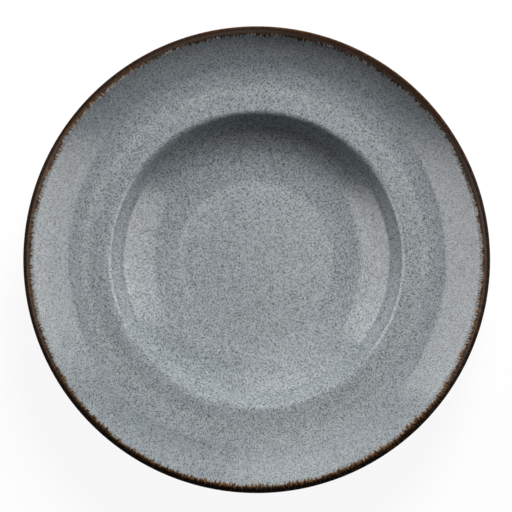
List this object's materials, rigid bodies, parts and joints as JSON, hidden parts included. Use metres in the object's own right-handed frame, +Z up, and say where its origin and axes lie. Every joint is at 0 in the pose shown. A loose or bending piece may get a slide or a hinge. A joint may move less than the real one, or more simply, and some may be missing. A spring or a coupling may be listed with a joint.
{
  "type": "pasta plate",
  "caption": "Round wide-rimmed plate with a deep well for pasta or soup, in speckled blue-grey glazed stoneware with a ragged brown band round the lip, standing on a bare foot ring.",
  "frame": {"origin": "centre of the foot ring, in the plane of the table", "axes": "+Z up along the axis that the plate was turned on, through the middle of the well; X and Y lie in the plane of the table, and the plate is round, so any heading will do"},
  "size_m": [0.27, 0.27, 0.0465],
  "materials": {
    "stoneware": "bare fired clay, dry and fine-grained",
    "speckled_glaze": "glossy glaze, blue-grey with fine dark speckle",
    "iron_brown_glaze": "satin iron glaze, black-brown and thinning to orange-brown at its ragged edge"
  },
  "bodies": {
    "root": {"body": "stoneware", "face_glaze": "speckled_glaze", "rim_band": "iron_brown_glaze", "underside_glaze": "speckled_glaze", "foot_recess_glaze": "speckled_glaze"}
  },
  "joints": []
}
